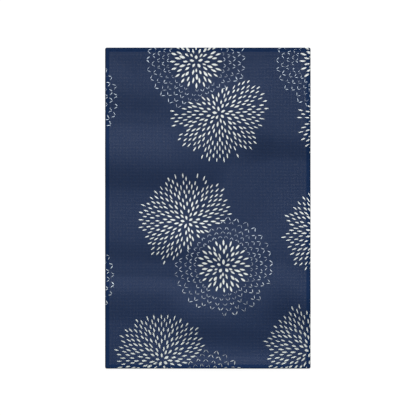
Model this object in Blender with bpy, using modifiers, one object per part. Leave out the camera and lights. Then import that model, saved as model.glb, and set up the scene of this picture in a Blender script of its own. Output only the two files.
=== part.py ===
"""A tea towel lying face up in soft folds: one waffle cloth with its four edges turned under in a hem.

It rests on the plane z = 0 between its folds, and +Y points to its upper short edge.
"""

import math
from collections import namedtuple

import bpy

# Driving dimensions, in metres
WIDTH = 0.4064
LENGTH = 0.635
CORNER_RADIUS = 0.0035
HEM_WIDTH = 0.0083
HEM_STEP = 0.0008
HEM_THICKNESS = 0.0026
PANEL_THICKNESS = 0.0016
HEM_SAG = 0.060
EDGE_ROUNDING = 0.0010

# How fine the mesh is: cells over the panel each way, and facets over the round of the edge
CELLS_ACROSS = 17
CELLS_ALONG = 58
EDGE_FACETS = 2
EDGE_ANGLE = math.radians(70)

NAVY = (0.026, 0.041, 0.086, 1.0)
ROUGHNESS = 0.85

# A row for each soft fold, in millimetres. Its crest runs from its left end to its right end, rise and
# fall are the lengths of the slopes above and below the crest, and it dies out FOLD_END past each end.
# The cloth's weight presses it flat wherever its folds add up to less than TOUCHING.
FOLD_END = 70
TOUCHING = 0.3
Fold = namedtuple("Fold", "name x_left y_left x_right y_right height rise fall")
FOLDS = (
    Fold("top left", -215, 238, -120, 228, 2.0, 80, 60),
    Fold("top middle", -30, 190, 80, 176, 3.6, 120, 120),
    Fold("top right", 100, 262, 215, 262, 1.2, 55, 90),
    Fold("upper right", 125, 150, 215, 142, 3.7, 150, 66),
    Fold("upper left", -215, 97, -15, 90, 4.3, 90, 76),
    Fold("middle left", -215, -58, -120, -64, 2.4, 105, 60),
    Fold("middle", -60, -70, 80, -90, 2.4, 75, 48),
    Fold("middle right", 150, -112, 215, -118, 3.7, 200, 130),
    Fold("lower left", -215, -168, -90, -174, 2.7, 50, 75),
    Fold("lower middle", -30, -212, 100, -222, 4.1, 80, 76),
    Fold("lower right", 82, -150, 215, -194, 3.9, 70, 80),
    Fold("bottom hem", -60, -318, 130, -318, 2.2, 38, 45),
)


def clear_scene():
    for thing in list(bpy.data.objects):
        bpy.data.objects.remove(thing)


def part_collection(name):
    """The collection that holds the part."""
    found = bpy.data.collections.new(name)
    bpy.context.scene.collection.children.link(found)
    return found


def cloth_material():
    """Dyed cotton, dull."""
    material = bpy.data.materials.new("navy cotton")
    material.use_nodes = True
    shader = material.node_tree.nodes["Principled BSDF"]
    shader.inputs["Base Color"].default_value = NAVY
    shader.inputs["Roughness"].default_value = ROUGHNESS
    shader.inputs["Metallic"].default_value = 0.0
    material.diffuse_color = NAVY
    return material


def swell(share):
    """1 at share 0, falling evenly to 0 at share 1 and past it, level at both ends."""
    return math.cos(0.5 * math.pi * min(abs(share), 1)) ** 2


def fold_height(fold, x, y):
    """How high this fold alone stands at x, y, all in millimetres."""
    run = fold.x_right - fold.x_left
    along = (x - fold.x_left) / run
    within = min(max(along, 0), 1)
    above = y - fold.y_left - within * (fold.y_right - fold.y_left)
    slope = fold.rise if above > 0 else fold.fall
    return fold.height * swell(above / slope) * swell((along - within) * run / FOLD_END)


def fold_lift(x, y):
    """How far the folds hold the cloth off the table at x, y, all in millimetres."""
    clear = max(sum(fold_height(fold, x, y) for fold in FOLDS) - TOUCHING, 0)
    return clear * clear / (clear + TOUCHING)


def from_edge(x, y):
    """The distance inwards from the nearest edge of the towel."""
    return min(WIDTH / 2 - abs(x), LENGTH / 2 - abs(y))


def face_height(x, y):
    """The height of the towel's upper face. The panel hangs down to the table from its thicker hem."""
    sag = swell(max(from_edge(x, y) - HEM_WIDTH, 0) / HEM_SAG)
    lift = fold_lift(1000 * x, 1000 * y) / 1000
    return PANEL_THICKNESS + sag * (HEM_THICKNESS - PANEL_THICKNESS) + lift


def lines_over(size, cells):
    """Where the mesh has lines along one side: close together at the corner and the hem, then even."""
    near_edge = (0, CORNER_RADIUS / 2, CORNER_RADIUS, HEM_WIDTH - HEM_STEP / 2, HEM_WIDTH + HEM_STEP / 2)
    first = [distance - size / 2 for distance in near_edge]
    middle = [first[-1] - 2 * first[-1] * step / cells for step in range(1, cells)]
    return first + middle + [-place for place in reversed(first)]


def rounded(x, y):
    """The point x, y drawn in where it lies in a corner, so that the corner's square becomes a round."""
    corner_x = WIDTH / 2 - CORNER_RADIUS
    corner_y = LENGTH / 2 - CORNER_RADIUS
    past_x = max(abs(x) - corner_x, 0)
    past_y = max(abs(y) - corner_y, 0)
    if past_x == 0 or past_y == 0:
        return x, y
    drawn = max(past_x, past_y) / math.hypot(past_x, past_y)
    return (
        math.copysign(corner_x + past_x * drawn, x),
        math.copysign(corner_y + past_y * drawn, y),
    )


def cloth_face():
    """The towel's upper face: a grid, its points moved onto the graded lines and lifted by the folds."""
    lines_x = lines_over(WIDTH, CELLS_ACROSS)
    lines_y = lines_over(LENGTH, CELLS_ALONG)
    bpy.ops.mesh.primitive_grid_add(
        x_subdivisions=len(lines_x) - 1, y_subdivisions=len(lines_y) - 1, size=1
    )
    face = bpy.context.object
    hem = face.vertex_groups.new(name="hem")
    for vertex in face.data.vertices:
        column = round((vertex.co.x + 0.5) * (len(lines_x) - 1))
        row = round((vertex.co.y + 0.5) * (len(lines_y) - 1))
        x, y = lines_x[column], lines_y[row]
        if from_edge(x, y) < HEM_WIDTH:
            hem.add([vertex.index], 1.0, "REPLACE")
        vertex.co = (*rounded(x, y), face_height(x, y))
    return face


def towel(collection):
    """The whole towel: its face thickened downwards, more so in the hem, with its edge rounded."""
    cloth = cloth_face()
    cloth.name = cloth.data.name = "towel"
    for home in cloth.users_collection:
        home.objects.unlink(cloth)
    collection.objects.link(cloth)
    thick = cloth.modifiers.new("thickness", "SOLIDIFY")
    thick.thickness = HEM_THICKNESS
    thick.offset = -1
    thick.vertex_group = "hem"
    thick.thickness_vertex_group = PANEL_THICKNESS / HEM_THICKNESS
    edge = cloth.modifiers.new("rounded edge", "BEVEL")
    edge.width = EDGE_ROUNDING
    edge.segments = EDGE_FACETS
    edge.limit_method = "ANGLE"
    edge.angle_limit = EDGE_ANGLE
    cloth.data.materials.append(cloth_material())
    cloth.data.shade_smooth()
    return cloth


clear_scene()
towel(part_collection("tea towel"))
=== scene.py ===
import math
from collections import namedtuple

import bpy
import numpy as np
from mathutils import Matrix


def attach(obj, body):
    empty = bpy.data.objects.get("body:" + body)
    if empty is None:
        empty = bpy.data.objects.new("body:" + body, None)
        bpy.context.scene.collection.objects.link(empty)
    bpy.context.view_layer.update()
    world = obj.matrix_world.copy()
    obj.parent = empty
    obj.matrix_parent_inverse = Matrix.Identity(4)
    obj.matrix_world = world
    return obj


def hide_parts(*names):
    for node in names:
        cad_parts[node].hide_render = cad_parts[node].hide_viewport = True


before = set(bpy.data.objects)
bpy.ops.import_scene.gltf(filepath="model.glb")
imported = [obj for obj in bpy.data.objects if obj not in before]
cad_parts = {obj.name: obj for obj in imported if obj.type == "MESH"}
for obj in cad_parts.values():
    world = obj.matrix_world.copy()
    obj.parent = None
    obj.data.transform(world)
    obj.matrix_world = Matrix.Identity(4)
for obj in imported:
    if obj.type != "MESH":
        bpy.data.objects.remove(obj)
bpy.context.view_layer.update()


# The towel: one length of waffle cotton, its face printed navy all but the flowers, which are left in
# the bare off-white of the cloth. Its four edges are turned twice to the back and sewn down in a hem.
# It lies face up, in soft folds left from the packing, and touches the table between them.
WIDTH = 0.4064
LENGTH = 0.635
CORNER_RADIUS = 0.0035
HEM_WIDTH = 0.0083
HEM_THICKNESS = 0.0026
PANEL_THICKNESS = 0.0016
HEM_SAG = 0.060
TOLERANCE = 1e-6

# A row for each soft fold, in millimetres. Its crest runs from its left end to its right end, rise and
# fall are the lengths of the slopes above and below the crest, and it dies out FOLD_END past each end.
# The cloth's weight presses it flat wherever its folds add up to less than TOUCHING.
FOLD_END = 70
TOUCHING = 0.3
Fold = namedtuple("Fold", "name x_left y_left x_right y_right height rise fall")
FOLDS = (
    Fold("top left", -215, 238, -120, 228, 2.0, 80, 60),
    Fold("top middle", -30, 190, 80, 176, 3.6, 120, 120),
    Fold("top right", 100, 262, 215, 262, 1.2, 55, 90),
    Fold("upper right", 125, 150, 215, 142, 3.7, 150, 66),
    Fold("upper left", -215, 97, -15, 90, 4.3, 90, 76),
    Fold("middle left", -215, -58, -120, -64, 2.4, 105, 60),
    Fold("middle", -60, -70, 80, -90, 2.4, 75, 48),
    Fold("middle right", 150, -112, 215, -118, 3.7, 200, 130),
    Fold("lower left", -215, -168, -90, -174, 2.7, 50, 75),
    Fold("lower middle", -30, -212, 100, -222, 4.1, 80, 76),
    Fold("lower right", 82, -150, 215, -194, 3.9, 70, 80),
    Fold("bottom hem", -60, -318, 130, -318, 2.2, 38, 45),
)

# The hem in section, in millimetres: how far in from the edge each line of it lies, and how far it
# stands above the level of the cloth there, on its face and on the side that is turned under.
HemLine = namedtuple("HemLine", "name inset rise")
HEM_FACE = (
    HemLine("turn", 0.0, -1.3),
    HemLine("round", 0.15, -0.55),
    HemLine("round", 0.4, -0.15),
    HemLine("shoulder", 0.85, -0.02),
    HemLine("shoulder", 1.8, 0.01),
    HemLine("crown", 3.6, 0.02),
    HemLine("slope", 5.4, 0.01),
    HemLine("beside the stitches", 6.0, -0.03),
    HemLine("stitches", 6.5, -0.14),
    HemLine("beside the stitches", 7.0, -0.03),
    HemLine("inner shoulder", 7.7, 0.01),
    HemLine("panel", 8.3, 0.0),
)
HEM_UNDER = (
    HemLine("round", 0.2, 0.65),
    HemLine("round", 0.65, 0.17),
    HemLine("shoulder", 1.3, 0.0),
    HemLine("belly", 2.2, 0.0),
    HemLine("belly", 3.6, 0.0),
    HemLine("beside the stitches", 5.9, 0.0),
    HemLine("stitches", 6.5, 0.35),
    HemLine("beside the stitches", 7.1, 0.0),
    HemLine("inner round", 8.0, 0.1),
    HemLine("turned edge", 8.25, 0.5),
    HemLine("panel", 8.35, 1.0),
)

# The waffle weave: square cells walled by long threads, each with a pit in its middle. In shares of a
# cell, WALL_WIDTH is how far a wall reaches into it, and the lines are where the mesh has its own lines.
CELLS_ACROSS = 59
CELLS_ALONG = 94
CELL_WIDTH = (WIDTH - 2 * HEM_WIDTH) / CELLS_ACROSS
CELL_LENGTH = (LENGTH - 2 * HEM_WIDTH) / CELLS_ALONG
WALL_WIDTH = 0.15
WALL_HEIGHT = 0.00007
UNDER_PIT_DEPTH = 0.00025
FACE_LINES = (0.0, WALL_WIDTH, 1 - WALL_WIDTH)
UNDER_LINES = (0.0, 0.5)

# The weave strays from straight by about WANDER, in long waves, and not at all at the hem. A wave's
# angle at x, y is its start, with by_x times x and by_y times y added.
WANDER = 0.0005
WANDER_FADE = 0.045
Wave = namedtuple("Wave", "by_x by_y start size")
WAVES_ASIDE = (Wave(9, 31, 0.6, 1.0), Wave(-21, 67, 2.1, 0.5))
WAVES_AHEAD = (Wave(27, -12, 1.7, 1.0), Wave(59, 25, 0.0, 0.5))


def swell(share):
    """1 at share 0, falling evenly to 0 at share 1 and past it, level at both ends."""
    return np.cos(0.5 * np.pi * np.clip(np.abs(share), 0, 1)) ** 2


def fold_lift(x, y):
    """How far the folds hold the cloth off the table at x, y."""
    total = np.zeros_like(x)
    for fold in FOLDS:
        run = fold.x_right - fold.x_left
        along = (1000 * x - fold.x_left) / run
        within = np.clip(along, 0, 1)
        above = 1000 * y - fold.y_left - within * (fold.y_right - fold.y_left)
        slope = np.where(above > 0, fold.rise, fold.fall)
        total += fold.height * swell(above / slope) * swell((along - within) * run / FOLD_END)
    clear = np.maximum(total - TOUCHING, 0)
    return clear * clear / (clear + TOUCHING) / 1000


def from_edge(x, y):
    """The distance inwards from the nearest edge of the towel."""
    return np.minimum(WIDTH / 2 - np.abs(x), LENGTH / 2 - np.abs(y))


def cloth_level(x, y):
    """The height of the face, with no hem or weave in it: the panel hangs from its thicker hem."""
    sag = swell(np.maximum(from_edge(x, y) - HEM_WIDTH, 0) / HEM_SAG)
    return PANEL_THICKNESS + sag * (HEM_THICKNESS - PANEL_THICKNESS) + fold_lift(x, y)


def from_wall(x, y, shift):
    """How far x, y lies from the nearest wall of the waffle once it is shifted, all in cells."""
    across = np.abs((x / CELL_WIDTH + CELLS_ACROSS / 2 + shift + 0.5) % 1 - 0.5)
    along = np.abs((y / CELL_LENGTH + CELLS_ALONG / 2 + shift + 0.5) % 1 - 0.5)
    return np.minimum(across, along)


def lines_over(size, hem, cells, lines):
    """Where the mesh has lines along one side: on the hem's own, then on these lines of each cell."""
    first = [line.inset / 1000 - size / 2 for line in hem]
    in_cells = [cell + line for cell in range(cells) for line in lines]
    middle = [first[-1] * (1 - 2 * place / cells) for place in in_cells]
    return np.array(first + middle[1:] + [-place for place in reversed(first)])


def flat_grid(name, hem, lines):
    """A grid over the whole towel, with the flat x and y of each of its points."""
    lines_x = lines_over(WIDTH, hem, CELLS_ACROSS, lines)
    lines_y = lines_over(LENGTH, hem, CELLS_ALONG, lines)
    bpy.ops.object.select_all(action="DESELECT")
    bpy.ops.mesh.primitive_grid_add(
        x_subdivisions=len(lines_x) - 1, y_subdivisions=len(lines_y) - 1, size=1
    )
    grid = bpy.context.object
    grid.name = grid.data.name = name
    even = np.empty(3 * len(grid.data.vertices), np.float32)
    grid.data.vertices.foreach_get("co", even)
    column, row, _ = np.rint(
        (even.reshape(-1, 3).T + 0.5) * [[len(lines_x) - 1], [len(lines_y) - 1], [1]]
    ).astype(int)
    return grid, lines_x[column], lines_y[row]


def rounded(x, y):
    """x and y drawn in where they lie in a corner, so that the corner's square becomes a round."""
    past_x = np.maximum(np.abs(x) - WIDTH / 2 + CORNER_RADIUS, 0)
    past_y = np.maximum(np.abs(y) - LENGTH / 2 + CORNER_RADIUS, 0)
    drawn = np.where(
        (past_x > 0) & (past_y > 0),
        np.maximum(past_x, past_y) / np.maximum(np.hypot(past_x, past_y), TOLERANCE),
        1,
    )
    return x - np.sign(x) * past_x * (1 - drawn), y - np.sign(y) * past_y * (1 - drawn)


def waved(x, y, waves):
    """These waves added up at x, y."""
    return sum(wave.size * np.sin(wave.by_x * x + wave.by_y * y + wave.start) for wave in waves)


def wander(x, y):
    """How far the weave strays from straight at x, y, sideways and along."""
    free = WANDER * (1 - swell((from_edge(x, y) - HEM_WIDTH) / WANDER_FADE))
    free = np.where(from_edge(x, y) > HEM_WIDTH, free, 0)
    return free * waved(x, y, WAVES_ASIDE), free * waved(x, y, WAVES_AHEAD)


def place_points(grid, x, y, z, cloth_x, cloth_y):
    """Puts the grid's points in place, and notes for each where it lies on the cloth as it was cut."""
    round_x, round_y = rounded(x, y)
    stray_x, stray_y = wander(x, y)
    places = np.stack([round_x + stray_x, round_y + stray_y, z], 1)
    grid.data.vertices.foreach_set("co", places.astype(np.float32).ravel())
    cut = grid.data.attributes.new("cloth", "FLOAT_VECTOR", "POINT")
    flat = np.stack([cloth_x, cloth_y, np.zeros_like(x)], 1)
    cut.data.foreach_set("vector", flat.astype(np.float32).ravel())


def turned(place, size):
    """Where a point of the side that is turned under lay before the hem was turned."""
    inset = size / 2 - np.abs(place)
    return np.where(inset < HEM_WIDTH, np.sign(place) * (size / 2 + inset), place)


def hem_rise(inset, lines):
    """How far the hem stands above the level of the cloth, so far in from its edge."""
    return np.interp(1000 * inset, [line.inset for line in lines], [line.rise for line in lines]) / 1000


towel, x, y = flat_grid("towel_cloth", HEM_FACE, FACE_LINES)
inset = from_edge(x, y)
face_hem = inset < HEM_WIDTH + TOLERANCE
pits = np.where(face_hem, 0, WALL_HEIGHT * np.minimum(from_wall(x, y, 0) / WALL_WIDTH, 1))
place_points(towel, x, y, cloth_level(x, y) + hem_rise(inset, HEM_FACE) - pits, x, y)

under, x, y = flat_grid("towel_under", HEM_UNDER, UNDER_LINES)
inset = from_edge(x, y)
under_panel = inset > HEM_UNDER[-1].inset / 1000 - TOLERANCE
under_level = np.where(
    under_panel,
    cloth_level(x, y) - PANEL_THICKNESS + 2 * UNDER_PIT_DEPTH * from_wall(x, y, 0.5),
    fold_lift(x, y) + hem_rise(inset, HEM_UNDER),
)
place_points(under, x, y, under_level, turned(x, WIDTH), turned(y, LENGTH))

# The underside's faces are turned round, and the two sides are joined along the edge, where the cloth
# turns under.
PRINTED, HEM, PLAIN = 0, 1, 2
bpy.ops.object.mode_set(mode="EDIT")
bpy.ops.mesh.select_all(action="SELECT")
bpy.ops.mesh.flip_normals()
bpy.ops.object.mode_set(mode="OBJECT")
cloths = []
for side, inside, panel_cloth in ((towel, ~face_hem, PRINTED), (under, under_panel, PLAIN)):
    corners = np.empty(4 * len(side.data.polygons), np.int32)
    side.data.polygons.foreach_get("vertices", corners)
    cloths.append(np.where(inside[corners.reshape(-1, 4)].any(1), panel_cloth, HEM))
bpy.ops.object.select_all(action="DESELECT")
under.select_set(True)
towel.select_set(True)
bpy.context.view_layer.objects.active = towel
bpy.ops.object.join()
bpy.ops.object.mode_set(mode="EDIT")
bpy.ops.mesh.select_mode(type="EDGE")
bpy.ops.mesh.select_all(action="DESELECT")
bpy.ops.mesh.select_non_manifold()
bpy.ops.mesh.bridge_edge_loops()
bpy.ops.object.mode_set(mode="OBJECT")
cloths.append(np.full(len(towel.data.polygons) - len(cloths[0]) - len(cloths[1]), HEM))
for _ in (PRINTED, HEM, PLAIN):
    towel.data.materials.append(None)
towel.data.polygons.foreach_set("material_index", np.concatenate(cloths).astype(np.int32))
towel.data.shade_smooth()

# The print, in millimetres: where each flower is centred, measured from the towel's middle, and the
# rings of marks in the two kinds. A full flower is petals all the way out. An open flower has a full
# heart, and only the tips of its outer petals are drawn. Where two flowers of unlike kinds overlap, a
# ring stops at a straight line across: its marks are left out where the square of their distance from
# the other flower's centre, less that of their distance from their own, is under cleared.
Flower = namedtuple("Flower", "x y")
FULL_FLOWERS = (
    Flower(22.3, 187.4),
    Flower(-40.5, -27.3),
    Flower(-89.8, -299.9),
    Flower(204.4, -283.1),
    Flower(242.0, -48.5),
    Flower(273.0, 174.5),
)
OPEN_FLOWERS = (
    Flower(-23.0, 289.7),
    Flower(31.3, -114.7),
    Flower(-10.0, -376.0),
    Flower(233.5, 290.0),
    Flower(-276.0, 214.4),
    Flower(-282.3, -138.7),
)
Ring = namedtuple("Ring", "radius count turn length width share cleared")
FULL_RINGS = (
    Ring(8.7, 5, 0.10, 8.6, 4.4, 1.0, 3100),
    Ring(15.5, 5, 0.60, 9.4, 3.6, 1.0, 3100),
    Ring(22.0, 10, 0.20, 9.8, 3.4, 1.0, 3100),
    Ring(28.6, 10, 0.70, 10.0, 3.2, 1.0, 3100),
    Ring(36.0, 20, 0.40, 10.2, 3.0, 1.0, 3100),
    Ring(44.0, 20, 0.90, 10.2, 2.8, 1.0, 3100),
    Ring(51.2, 20, 0.40, 10.2, 2.8, 1.0, 3100),
    Ring(59.5, 40, 0.80, 10.0, 2.6, 1.0, 3100),
    Ring(69.0, 40, 0.30, 9.8, 2.4, 1.0, 3100),
    Ring(77.3, 40, 0.80, 9.8, 2.3, 0.97, 3100),
    Ring(85.0, 40, 0.30, 9.8, 2.3, 0.92, 3100),
    Ring(92.3, 40, 0.80, 9.6, 2.3, 0.45, 3100),
)
HEART_RINGS = (
    Ring(9.3, 5, 0.25, 9.2, 5.0, 1.0, -9000),
    Ring(16.0, 5, 0.75, 8.0, 3.1, 1.0, -9000),
    Ring(21.8, 10, 0.50, 9.6, 3.4, 1.0, -9000),
    Ring(29.0, 10, 0.00, 12.0, 4.4, 1.0, -9000),
    Ring(37.5, 20, 0.00, 11.6, 3.5, 1.0, -9000),
    Ring(46.5, 20, 0.50, 11.4, 3.3, 0.97, -9000),
)
TIP_RINGS = (
    Ring(57.0, 31, 0.15, 5.0, 6.8, 0.9, -3600),
    Ring(66.5, 31, 0.65, 5.4, 7.6, 0.97, -3600),
    Ring(76.0, 31, 0.15, 5.8, 8.4, 0.98, -3600),
    Ring(86.0, 31, 0.65, 6.2, 9.2, 1.0, -3600),
    Ring(95.5, 31, 0.15, 6.6, 10.2, 0.94, -3600),
)

# How the marks are shaped, in shares of their own size, and how far each may stray from its place on
# the ring: in angle as a share of its room, in radius in millimetres, and in size and stroke as a share.
PETAL_TAPER = 0.12
LEAST_TAPER = 0.5
TIP_GAP = 0.2
TIP_STROKE = 0.088
TIP_THINNER = 0.7
LOOSE_ANGLE = 0.14
LOOSE_RADIUS = 1.8
LOOSE_SIZE = 0.3
LOOSE_STROKE = 0.9
CHANCE_STEP = 13

# The ink's soft edge, and the ink left between petals of two rings, in millimetres
INK_EDGE = 0.3
INK_BETWEEN = 0.8


def fed(tree, node, values):
    """Links or sets the node's inputs, in order. None leaves an input as it is."""
    for socket, value in zip(node.inputs, values):
        if isinstance(value, bpy.types.NodeSocket):
            tree.links.new(value, socket)
        elif value is not None:
            socket.default_value = value


def worked(tree, operation, *values):
    """One sum on numbers."""
    node = tree.nodes.new("ShaderNodeMath")
    node.operation = operation
    fed(tree, node, values)
    return node.outputs[0]


def moved(tree, operation, *values):
    """One sum on vectors. Its answer is a vector, or a number from a length, a distance or a product."""
    node = tree.nodes.new("ShaderNodeVectorMath")
    node.operation = operation
    fed(tree, node, values)
    is_number = operation in ("LENGTH", "DISTANCE", "DOT_PRODUCT")
    return node.outputs["Value" if is_number else "Vector"]


def scaled(tree, vector, number):
    """A vector times a number."""
    node = tree.nodes.new("ShaderNodeVectorMath")
    node.operation = "SCALE"
    fed(tree, node, (vector,))
    if isinstance(number, bpy.types.NodeSocket):
        tree.links.new(number, node.inputs["Scale"])
    else:
        node.inputs["Scale"].default_value = number
    return node.outputs["Vector"]


def chosen(tree, share, first, second):
    """Turns from the first vector to the second as share goes from 0 to 1."""
    node = tree.nodes.new("ShaderNodeMix")
    node.data_type = "VECTOR"
    fed(tree, node, (share, None, None, None, first, second))
    return node.outputs[1]


def tinted(tree, share, first, second):
    """Turns from the first colour to the second as share goes from 0 to 1."""
    node = tree.nodes.new("ShaderNodeMix")
    node.data_type = "RGBA"
    fed(tree, node, (share, None, None, None, None, None, first, second))
    return node.outputs[2]


def parted(tree, vector):
    """The X, Y and Z of a vector."""
    node = tree.nodes.new("ShaderNodeSeparateXYZ")
    fed(tree, node, (vector,))
    return node.outputs


def loosely(tree, chance, spread, mean):
    """The mean, give or take half of the spread by chance."""
    return worked(tree, "MULTIPLY_ADD", chance, spread, mean - 0.5 * spread)


def another(tree, chance):
    """A new chance from this one."""
    return worked(tree, "FRACT", worked(tree, "MULTIPLY", chance, CHANCE_STEP))


def new_group(name, inputs, outputs):
    """An empty node group with these inputs and outputs, each a name and a kind of socket."""
    group = bpy.data.node_groups.new(name, "ShaderNodeTree")
    for label, kind in inputs:
        group.interface.new_socket(name=label, in_out="INPUT", socket_type="NodeSocket" + kind)
    for label, kind in outputs:
        group.interface.new_socket(name=label, in_out="OUTPUT", socket_type="NodeSocket" + kind)
    given = group.nodes.new("NodeGroupInput")
    result = group.nodes.new("NodeGroupOutput")
    return group, given.outputs, result.inputs


Mark = namedtuple("Mark", "tree result along across half_length half_width drawn chance")


def ring_of(name):
    """A node group for one ring of a flower, all in millimetres, with what its marks are drawn from.

    Place is the point from the flower's centre, and Neighbour the same point from the centre of the
    nearest flower of the other kind. Around is to be 1 on a mark and on the ink that keeps it apart
    from the marks of the rings outside it. The mark's along and across are how far the point lies
    outwards and sideways of its middle, in half lengths and half widths, and drawn is 1 or 0.
    """
    ring, given, result = new_group(
        name,
        [(label, "Vector") for label in ("Place", "Neighbour")]
        + [
            (label, "Float")
            for label in ("Angle", "Radius", "Count", "Turn", "Length", "Width", "Share", "Cleared")
        ],
        [("Bare", "Float"), ("Around", "Float")],
    )
    place, radius, count = given["Place"], given["Radius"], given["Count"]
    turns = worked(ring, "DIVIDE", given["Angle"], 2 * math.pi)
    index = worked(ring, "FLOOR", worked(ring, "MULTIPLY_ADD", turns, count, given["Turn"]))
    mark_name = ring.nodes.new("ShaderNodeCombineXYZ")
    once_round = worked(ring, "FLOORED_MODULO", index, count)
    fed(ring, mark_name, (once_round, radius, parted(ring, place)["Z"]))
    noise = ring.nodes.new("ShaderNodeTexWhiteNoise")
    noise.noise_dimensions = "3D"
    fed(ring, noise, (mark_name.outputs[0],))
    chances = ring.nodes.new("ShaderNodeSeparateColor")
    fed(ring, chances, (noise.outputs["Color"],))

    loose = loosely(ring, chances.outputs[0], LOOSE_ANGLE, 0.5)
    middle = worked(ring, "SUBTRACT", worked(ring, "ADD", index, loose), given["Turn"])
    angle = worked(ring, "MULTIPLY", worked(ring, "DIVIDE", middle, count), 2 * math.pi)
    outward = ring.nodes.new("ShaderNodeCombineXYZ")
    fed(ring, outward, (worked(ring, "COSINE", angle), worked(ring, "SINE", angle)))
    out_by = loosely(ring, chances.outputs[1], LOOSE_RADIUS, 0)
    centre = scaled(ring, outward.outputs[0], worked(ring, "ADD", radius, out_by))
    inside = moved(ring, "SUBTRACT", place, centre)

    long = loosely(ring, chances.outputs[2], LOOSE_SIZE, 1)
    half_length = worked(ring, "MULTIPLY", worked(ring, "MULTIPLY", given["Length"], long), 0.5)
    broad = loosely(ring, another(ring, chances.outputs[0]), LOOSE_SIZE, 1)
    half_width = worked(ring, "MULTIPLY", worked(ring, "MULTIPLY", given["Width"], broad), 0.5)
    ahead = moved(ring, "DOT_PRODUCT", inside, outward.outputs[0])
    along = worked(ring, "DIVIDE", ahead, half_length)
    beside = moved(ring, "LENGTH", moved(ring, "CROSS_PRODUCT", inside, outward.outputs[0]))
    across = worked(ring, "DIVIDE", beside, half_width)

    there = worked(ring, "LESS_THAN", noise.outputs["Value"], given["Share"])
    to_other = moved(ring, "SUBTRACT", centre, moved(ring, "SUBTRACT", place, given["Neighbour"]))
    other_square = moved(ring, "DOT_PRODUCT", to_other, to_other)
    own_square = moved(ring, "DOT_PRODUCT", centre, centre)
    margin = worked(ring, "SUBTRACT", other_square, own_square)
    clear = worked(ring, "GREATER_THAN", margin, given["Cleared"])
    drawn = worked(ring, "MULTIPLY", there, clear)
    chance = another(ring, chances.outputs[1])
    return Mark(ring, result, along, across, half_length, half_width, drawn, chance)


def inked_out(tree, within, drawn):
    """1 inside a mark's outline and 0 outside it, from the distance inside, with the ink's soft edge."""
    solid = worked(tree, "MULTIPLY_ADD", within, 1 / INK_EDGE, 0.5)
    solid.node.use_clamp = True
    return worked(tree, "MULTIPLY", solid, drawn)


def petal_ring():
    """A ring of whole petals: each pointed at both ends, and broadest a little outside its middle."""
    petal = ring_of("petal ring")
    ring = petal.tree
    lens = worked(ring, "MULTIPLY_ADD", worked(ring, "MULTIPLY", petal.along, petal.along), -1, 1)
    taper = worked(ring, "MULTIPLY_ADD", petal.along, PETAL_TAPER, 1)
    reach = worked(ring, "MULTIPLY", lens, worked(ring, "MAXIMUM", taper, LEAST_TAPER))
    within = worked(ring, "MULTIPLY", worked(ring, "SUBTRACT", reach, petal.across), petal.half_width)
    ring.links.new(inked_out(ring, within, petal.drawn), petal.result["Bare"])
    apart = worked(ring, "ADD", within, INK_BETWEEN)
    ring.links.new(inked_out(ring, apart, petal.drawn), petal.result["Around"])
    return ring


def tip_ring():
    """A ring of petals' tips: two thin strokes each, that run back from a gap at the tip."""
    mark = ring_of("tip ring")
    ring = mark.tree
    tip = ring.nodes.new("ShaderNodeCombineXYZ")
    ahead = worked(ring, "SUBTRACT", mark.along, 1 - 2 * TIP_GAP)
    ahead = worked(ring, "MULTIPLY", ahead, mark.half_length)
    aside = worked(ring, "SUBTRACT", mark.across, TIP_GAP)
    aside = worked(ring, "MULTIPLY", aside, mark.half_width)
    fed(ring, tip, (aside, ahead))
    stroke = ring.nodes.new("ShaderNodeCombineXYZ")
    run_aside = worked(ring, "MULTIPLY", mark.half_width, 1 - TIP_GAP)
    run_back = worked(ring, "MULTIPLY", mark.half_length, 2 * TIP_GAP - 2)
    fed(ring, stroke, (run_aside, run_back))
    reached = moved(ring, "DOT_PRODUCT", tip.outputs[0], stroke.outputs[0])
    whole = moved(ring, "DOT_PRODUCT", stroke.outputs[0], stroke.outputs[0])
    share = worked(ring, "DIVIDE", reached, whole)
    share.node.use_clamp = True
    away = moved(ring, "DISTANCE", tip.outputs[0], scaled(ring, stroke.outputs[0], share))
    from_middle = worked(ring, "MULTIPLY_ADD", share, 2, -1)
    from_middle_square = worked(ring, "MULTIPLY", from_middle, from_middle)
    thinner = worked(ring, "MULTIPLY", from_middle_square, TIP_THINNER)
    bold = loosely(ring, mark.chance, LOOSE_STROKE, 1)
    widest = worked(ring, "MULTIPLY", worked(ring, "MULTIPLY", bold, TIP_STROKE), mark.half_width)
    half_stroke = worked(ring, "MULTIPLY", worked(ring, "SUBTRACT", 1, thinner), widest)
    within = worked(ring, "SUBTRACT", half_stroke, away)
    ring.links.new(inked_out(ring, within, mark.drawn), mark.result["Bare"])
    return ring


def nearest_flower(tree, place, flowers):
    """The place from the nearest of these flowers' centres. Its z tells that flower's number."""
    nearest = None
    for number, flower in enumerate(flowers):
        seen = moved(tree, "SUBTRACT", place, (flower.x, flower.y, 0))
        away = moved(tree, "LENGTH", seen)
        numbered = moved(tree, "ADD", seen, (0, 0, number / 1000))
        if nearest is None:
            nearest, least = numbered, away
        else:
            nearest = chosen(tree, worked(tree, "LESS_THAN", away, least), nearest, numbered)
            least = worked(tree, "MINIMUM", least, away)
    return nearest


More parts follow.
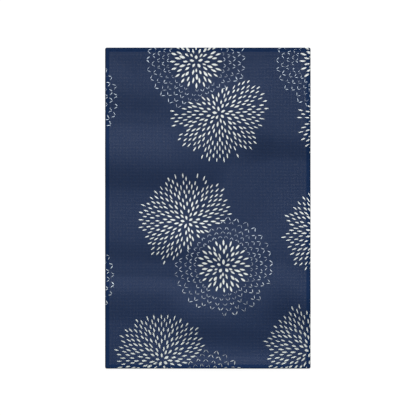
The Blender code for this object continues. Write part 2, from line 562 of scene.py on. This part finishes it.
def flower_print():
    """A node group for the print: Bare is 1 on the petals, Thin is 1 on the tips' strokes."""
    flowers, given, result = new_group(
        "flower print", [("Cloth", "Vector")], [("Bare", "Float"), ("Thin", "Float")]
    )
    petals = petal_ring()
    tips = tip_ring()
    place = scaled(flowers, given["Cloth"], 1000)
    full = nearest_flower(flowers, place, FULL_FLOWERS)
    opened = nearest_flower(flowers, place, OPEN_FLOWERS)
    bare = thin = 0.0
    for rings, own, other, drawing in (
        (TIP_RINGS, opened, full, tips),
        (FULL_RINGS, full, opened, petals),
        (HEART_RINGS, opened, full, petals),
    ):
        parts = parted(flowers, own)
        angle = worked(flowers, "ARCTAN2", parts["Y"], parts["X"])
        for row in reversed(rings):
            drawn = flowers.nodes.new("ShaderNodeGroup")
            drawn.node_tree = drawing
            fed(flowers, drawn, (own, other, angle, *row))
            if drawing == tips:
                thin = worked(flowers, "MAXIMUM", thin, drawn.outputs["Bare"])
                continue
            beyond = worked(flowers, "SUBTRACT", 1, drawn.outputs["Around"])
            thin = worked(flowers, "MULTIPLY", thin, beyond)
            bare = worked(flowers, "MULTIPLY", bare, beyond)
            bare = worked(flowers, "MAXIMUM", bare, drawn.outputs["Bare"])
    flowers.links.new(bare, result["Bare"])
    flowers.links.new(thin, result["Thin"])
    return flowers


# The cloth's own colours and how it takes the light. The ink lies a little thinner on the waffle's long
# threads than on the hem, which is pressed flat and woven plain, and it bleeds into the thin strokes.
# Towards the lower end the bare cotton is darkened with painted shade, as though less lit there: it
# begins at the start set below and deepens over the run set below.
BARE_COTTON = (0.71, 0.745, 0.72, 1)
THIN_COTTON = (0.68, 0.78, 0.88, 1)
LOWER_SHADED_COTTON = (0.524, 0.563, 0.528, 1)
LOWER_SHADE_START = -0.034
LOWER_SHADE_RUN = 0.28
PANEL_INK = (0.0109, 0.0249, 0.0695, 1)
HEM_INK = (0.0074, 0.0222, 0.0690, 1)
COTTON_ROUGHNESS = 0.5
WAFFLE_SHINE = 0.6
HEM_SHINE = 0.08

# Painted shade of the cloth, each a share of its colour: on the waffle's walls and in the middle of its
# pits, which makes the face's pits a touch darker and its walls a touch lighter, and the back darker
# along the lines of the face's walls; and along the turn of the hem, where the painted shade fades over
# TURN_WIDTH. The yarns vary in tone by MOTTLE, and STRUCK_THROUGH is the share of the ink that has come
# through to the back.
FACE_WALL_PAINTED_SHADE = 1.01
FACE_PIT_PAINTED_SHADE = 0.98
BACK_WALL_PAINTED_SHADE = 0.88
BACK_PIT_PAINTED_SHADE = 1.0
TURN_PAINTED_SHADE = 0.4
TURN_WIDTH = 0.0034
MOTTLE = 0.3
STRUCK_THROUGH = 0.2

# The yarns: how far apart and how high they are, how much of that height is their weave and how much
# their slubs, how fine the slubs are, and how far and how finely the print's edges stray along them
YARN = 0.00055
YARN_HEIGHT = 0.00008
WEAVE_SHARE = 0.3
SLUB_SHARE = 0.8
SLUB_SCALE = 900
SLUB_DETAIL = 2
RAGGED_REACH = 0.0009
RAGGED_SCALE = 420
RAGGED_DETAIL = 1


def waffle_weave():
    """A node group for the waffle: how deep a point lies in its cell, 0 to 1, and the rise of its yarns.

    The yarns that float over a cell run along it beside its side walls and across it beside the others.
    """
    weave, given, result = new_group(
        "waffle weave", [("Cloth", "Vector")], [("Pit", "Float"), ("Yarn", "Float")]
    )
    parts = parted(weave, given["Cloth"])
    walls = []
    waves = []
    for axis, cell, cells in (("X", CELL_WIDTH, CELLS_ACROSS), ("Y", CELL_LENGTH, CELLS_ALONG)):
        cell_place = worked(weave, "MULTIPLY_ADD", parts[axis], 1 / cell, cells / 2)
        walls.append(worked(weave, "PINGPONG", cell_place, 0.5))
        angle = worked(weave, "MULTIPLY", parts[axis], 2 * math.pi / YARN)
        waves.append(worked(weave, "COSINE", angle))
    weave.links.new(worked(weave, "MULTIPLY", worked(weave, "MINIMUM", *walls), 2), result["Pit"])
    by_side_wall = worked(weave, "LESS_THAN", walls[0], walls[1])
    along = worked(weave, "MULTIPLY", waves[0], by_side_wall)
    across = worked(weave, "MULTIPLY", waves[1], worked(weave, "SUBTRACT", 1, by_side_wall))
    weave.links.new(worked(weave, "ADD", along, across), result["Yarn"])
    return weave


def plain_weave():
    """A node group for the hem's plain weave: each yarn goes over one and under the next."""
    weave, given, result = new_group(
        "plain weave", [("Cloth", "Vector")], [("Pit", "Float"), ("Yarn", "Float")]
    )
    parts = parted(weave, given["Cloth"])
    waves = []
    for axis in ("X", "Y"):
        angle = worked(weave, "MULTIPLY", parts[axis], math.pi / YARN)
        waves.append(worked(weave, "SINE", angle))
    weave.links.new(worked(weave, "MULTIPLY", *waves), result["Yarn"])
    return weave


print_group = flower_print()
waffle_group = waffle_weave()
Cotton = namedtuple("Cotton", "material tree colour cloth marks pit mottle")


def cotton(name, weave_group, shine):
    """A new cotton material in this weave, with its colour's socket and what its colour is made from."""
    material = bpy.data.materials.new(name)
    material.use_nodes = True
    tree = material.node_tree
    shader = tree.nodes["Principled BSDF"]
    shader.inputs["Roughness"].default_value = COTTON_ROUGHNESS
    shader.inputs["Specular IOR Level"].default_value = shine
    cloth = tree.nodes.new("ShaderNodeAttribute")
    cloth.attribute_name = "cloth"
    weave = tree.nodes.new("ShaderNodeGroup")
    weave.node_tree = weave_group
    fed(tree, weave, (cloth.outputs["Vector"],))
    slubs = tree.nodes.new("ShaderNodeTexNoise")
    slubs.inputs["Scale"].default_value = SLUB_SCALE
    slubs.inputs["Detail"].default_value = SLUB_DETAIL
    fed(tree, slubs, (cloth.outputs["Vector"],))
    bump = tree.nodes.new("ShaderNodeBump")
    bump.inputs["Distance"].default_value = YARN_HEIGHT
    yarns = worked(tree, "MULTIPLY", weave.outputs["Yarn"], WEAVE_SHARE)
    height = worked(tree, "MULTIPLY_ADD", slubs.outputs[0], SLUB_SHARE, yarns)
    fed(tree, bump, (None, None, None, height))
    tree.links.new(bump.outputs[0], shader.inputs["Normal"])

    ragged = tree.nodes.new("ShaderNodeTexNoise")
    ragged.inputs["Scale"].default_value = RAGGED_SCALE
    ragged.inputs["Detail"].default_value = RAGGED_DETAIL
    fed(tree, ragged, (cloth.outputs["Vector"],))
    strayed = moved(tree, "SUBTRACT", ragged.outputs["Color"], (0.5, 0.5, 0.5))
    inked = moved(tree, "ADD", cloth.outputs["Vector"], scaled(tree, strayed, RAGGED_REACH))
    flowers = tree.nodes.new("ShaderNodeGroup")
    flowers.node_tree = print_group
    fed(tree, flowers, (moved(tree, "MULTIPLY", inked, (1, 1, 0)),))
    return Cotton(
        material,
        tree,
        shader.inputs["Base Color"],
        cloth.outputs["Vector"],
        flowers.outputs,
        weave.outputs["Pit"],
        loosely(tree, slubs.outputs[0], MOTTLE, 1),
    )


def printed_over(piece, ink):
    """The piece's colour with this ink on it all but the marks."""
    tree = piece.tree
    up = parted(tree, piece.cloth)["Y"]
    # Painted shade: the bare cotton darkens towards the lower end, as though the light fell off there.
    lower_shade = worked(tree, "MULTIPLY_ADD", up, -1 / LOWER_SHADE_RUN, LOWER_SHADE_START / LOWER_SHADE_RUN)
    lower_shade.node.use_clamp = True
    strokes = tinted(tree, lower_shade, THIN_COTTON, LOWER_SHADED_COTTON)
    petals = tinted(tree, lower_shade, BARE_COTTON, LOWER_SHADED_COTTON)
    inked = tinted(tree, piece.marks["Thin"], ink, strokes)
    return tinted(tree, piece.marks["Bare"], inked, petals)


def finished(piece, colour, shade):
    """Gives the piece this colour, times this painted shade and mottled by its yarns."""
    shade = worked(piece.tree, "MULTIPLY", shade, piece.mottle)
    piece.tree.links.new(scaled(piece.tree, colour, shade), piece.colour)


printed = cotton("printed waffle cotton", waffle_group, WAFFLE_SHINE)
# Painted shade: the face's colour is a touch lighter on the waffle's walls and a touch darker in its
# pits.
painted_pit_shade = worked(
    printed.tree, "MULTIPLY_ADD", printed.pit, FACE_PIT_PAINTED_SHADE - FACE_WALL_PAINTED_SHADE, FACE_WALL_PAINTED_SHADE
)
finished(printed, printed_over(printed, PANEL_INK), painted_pit_shade)

# On the hem, painted shade darkens the colour towards the turn itself.
hemmed = cotton("printed hem cotton", plain_weave(), HEM_SHINE)
tree = hemmed.tree
from_middle = moved(tree, "ABSOLUTE", hemmed.cloth)
from_sides = parted(tree, moved(tree, "SUBTRACT", (WIDTH / 2, LENGTH / 2, 0), from_middle))
from_turn = worked(tree, "ABSOLUTE", worked(tree, "MINIMUM", from_sides["X"], from_sides["Y"]))
painted_turn_shade = worked(tree, "MULTIPLY_ADD", from_turn, (1 - TURN_PAINTED_SHADE) / TURN_WIDTH, TURN_PAINTED_SHADE)
finished(hemmed, printed_over(hemmed, HEM_INK), worked(tree, "MINIMUM", painted_turn_shade, 1))

plain = cotton("plain waffle cotton", waffle_group, WAFFLE_SHINE)
tree = plain.tree
struck = worked(tree, "MULTIPLY_ADD", plain.marks["Bare"], -STRUCK_THROUGH, STRUCK_THROUGH)
# Painted shade: the back's colour is darker along the lines of the face's walls than in the cells'
# middles.
painted_pit_shade = worked(tree, "MULTIPLY_ADD", plain.pit, BACK_PIT_PAINTED_SHADE - BACK_WALL_PAINTED_SHADE, BACK_WALL_PAINTED_SHADE)
finished(plain, tinted(tree, struck, BARE_COTTON, PANEL_INK), painted_pit_shade)

towel.data.materials[PRINTED] = printed.material
towel.data.materials[HEM] = hemmed.material
towel.data.materials[PLAIN] = plain.material
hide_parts("towel")
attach(towel, "root")


# The hem's stitching: one row of lockstitch in navy thread round the towel, through the hem's groove.
# It shows on the face and, alike, on the side that is turned under.
STITCH_INSET = 0.0065
STITCH_LENGTH = 0.0030
STITCH_GAP = 0.0005
STITCH_DIVE = 1.6
STITCH_SINK = 0.0001
THREAD_RADIUS = 0.00022
THREAD_SIDES = 6
THREAD_BENDS = 4
THREAD_COLOUR = (0.012, 0.022, 0.058)
THREAD_ROUGHNESS = 0.6
THREAD_SHINE = 0.15
PLY_SCALE = 900
PLY_PAINTED_SHADE = 0.5


def stitch_row(name, length):
    """A row of stitches along x, its middle at the origin. The ends of each dive into the cloth."""
    bpy.ops.object.select_all(action="DESELECT")
    bpy.ops.mesh.primitive_uv_sphere_add(segments=THREAD_SIDES, ring_count=THREAD_BENDS + 1, radius=1)
    row = bpy.context.object
    row.name = row.data.name = name
    bpy.ops.object.mode_set(mode="EDIT")
    bpy.ops.mesh.select_all(action="SELECT")
    bpy.ops.transform.rotate(value=math.pi / 2, orient_axis="Y", center_override=(0, 0, 0))
    half = 0.5 * (STITCH_LENGTH - STITCH_GAP)
    bpy.ops.transform.resize(value=(half, THREAD_RADIUS, THREAD_RADIUS), center_override=(0, 0, 0))
    bpy.ops.object.mode_set(mode="OBJECT")
    for vertex in row.data.vertices:
        vertex.co.z -= THREAD_RADIUS * STITCH_DIVE * abs(vertex.co.x / half) ** 3
    count = int(length / STITCH_LENGTH)
    array = row.modifiers.new("stitches", "ARRAY")
    array.count = count
    array.use_relative_offset = False
    array.use_constant_offset = True
    array.constant_offset_displace = (length / count, 0, 0)
    bpy.ops.object.modifier_apply(modifier=array.name)
    for vertex in row.data.vertices:
        vertex.co.x -= 0.5 * length * (count - 1) / count
    return row


def stitched_round(name, side):
    """The four rows round the towel on its face, with side 1, or on its underside, with side -1."""
    rows = []
    for number, (length, away) in enumerate(((WIDTH, LENGTH), (LENGTH, WIDTH)) * 2):
        row = stitch_row(f"{name}_{number}", length - 2 * STITCH_INSET)
        spots = np.empty(3 * len(row.data.vertices), np.float32)
        row.data.vertices.foreach_get("co", spots)
        along, beside, up = spots.reshape(-1, 3).T
        quarter = number * math.pi / 2
        out = beside + STITCH_INSET - away / 2
        x = along * round(math.cos(quarter)) - out * round(math.sin(quarter))
        y = along * round(math.sin(quarter)) + out * round(math.cos(quarter))
        groove = cloth_level(x, y) - STITCH_SINK if side > 0 else fold_lift(x, y) + THREAD_RADIUS
        placed = np.stack([x, y, groove + side * up], 1)
        row.data.vertices.foreach_set("co", placed.astype(np.float32).ravel())
        rows.append(row)
    bpy.ops.object.select_all(action="DESELECT")
    for row in rows:
        row.select_set(True)
    bpy.context.view_layer.objects.active = rows[0]
    bpy.ops.object.join()
    bpy.ops.object.mode_set(mode="EDIT")
    bpy.ops.mesh.select_all(action="SELECT")
    bpy.ops.mesh.normals_make_consistent(inside=False)
    bpy.ops.object.mode_set(mode="OBJECT")
    rows[0].name = rows[0].data.name = name
    rows[0].data.shade_smooth()
    return rows[0]


thread = bpy.data.materials.new("navy sewing thread")
thread.use_nodes = True
tree = thread.node_tree
shader = tree.nodes["Principled BSDF"]
shader.inputs["Roughness"].default_value = THREAD_ROUGHNESS
shader.inputs["Specular IOR Level"].default_value = THREAD_SHINE
# Painted shade: diagonal bands darken the thread's colour where shade would lie between the plies of its
# twist.
spot = tree.nodes.new("ShaderNodeTexCoord")
ply = tree.nodes.new("ShaderNodeTexWave")
ply.wave_type = "BANDS"
ply.bands_direction = "DIAGONAL"
ply.inputs["Scale"].default_value = PLY_SCALE
fed(tree, ply, (spot.outputs["Object"],))
painted_twist_shade = loosely(tree, ply.outputs[1], PLY_PAINTED_SHADE, 1)
tree.links.new(scaled(tree, THREAD_COLOUR, painted_twist_shade), shader.inputs["Base Color"])
face_stitches = stitched_round("stitching_face", 1)
under_stitches = stitched_round("stitching_under", -1)
for stitches in (face_stitches, under_stitches):
    stitches.data.materials.append(thread)
    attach(stitches, "root")


# The table that it lies on: a plain pale light table, as for pictures on pure white. Its top is a
# shade under the towel, so that the two faces don't meet in one plane.
TABLE_SIZE = 6
TABLE_DROP = 0.0003
TABLE_COLOUR = (0.1, 0.1, 0.1, 1)
TABLE_ROUGHNESS = 0.9
TABLE_GLOW = (1, 1, 1, 1)
TABLE_GLOW_STRENGTH = 0.955
bpy.ops.object.select_all(action="DESELECT")
bpy.ops.mesh.primitive_plane_add(size=TABLE_SIZE, location=(0, 0, -TABLE_DROP))
table = bpy.context.object
table.name = table.data.name = "table"
table_finish = bpy.data.materials.new("pale table")
table_finish.use_nodes = True
shader = table_finish.node_tree.nodes["Principled BSDF"]
shader.inputs["Base Color"].default_value = TABLE_COLOUR
shader.inputs["Roughness"].default_value = TABLE_ROUGHNESS
shader.inputs["Emission Color"].default_value = TABLE_GLOW
shader.inputs["Emission Strength"].default_value = TABLE_GLOW_STRENGTH
table.data.materials.append(table_finish)


# The light: a broad soft key light from past the towel's top edge, low enough to show its folds, and a
# weaker one from high up on the same side, which gives the cotton its faint sheen. The key light casts
# no sheen, so that the cloth never glares. The studio's white backdrop shows, but lights nothing.
KEY_HEIGHT = math.radians(20.5)
KEY_STRENGTH = 7.34
KEY_SPREAD = math.radians(25)
HIGH_HEIGHT = math.radians(56)
HIGH_STRENGTH = 1.21
HIGH_SPREAD = math.radians(10)
BACKDROP_COLOUR = (1, 1, 1, 1)
BACKDROP_STRENGTH = 1.0


def soft_sun(name, height, strength, spread):
    """A sun lamp that shines down from past the towel's top edge."""
    bpy.ops.object.light_add(type="SUN", rotation=(height - math.pi / 2, 0, 0))
    lamp = bpy.context.object
    lamp.name = lamp.data.name = name
    lamp.data.energy = strength
    lamp.data.angle = spread
    return lamp


key = soft_sun("low key light", KEY_HEIGHT, KEY_STRENGTH, KEY_SPREAD)
key.visible_glossy = False
soft_sun("high light", HIGH_HEIGHT, HIGH_STRENGTH, HIGH_SPREAD)
world = bpy.data.worlds.new("studio")
world.use_nodes = True
bpy.context.scene.world = world
backdrop = world.node_tree.nodes["Background"]
backdrop.inputs["Color"].default_value = BACKDROP_COLOUR
backdrop.inputs["Strength"].default_value = BACKDROP_STRENGTH
world.cycles_visibility.diffuse = False
world.cycles_visibility.glossy = False
bpy.context.scene.view_settings.view_transform = "Standard"
bpy.context.scene.view_settings.look = "None"


# The camera: straight above the towel, from far enough off that its edges stay parallel. The picture
# is FRAME_WIDTH across at FRAME_LEVEL, which is about the level of the cloth's face.
FRAME_WIDTH = 0.8225
FRAME_LEVEL = 0.0025
LENS = 300
SENSOR = 36
CAMERA_AIM = (0.00036, 0.0002)
camera_height = FRAME_WIDTH * LENS / SENSOR + FRAME_LEVEL
bpy.ops.object.camera_add(location=(*CAMERA_AIM, camera_height), rotation=(0, 0, 0))
camera = bpy.context.object
camera.data.lens = LENS
camera.data.sensor_width = SENSOR
bpy.context.scene.camera = camera
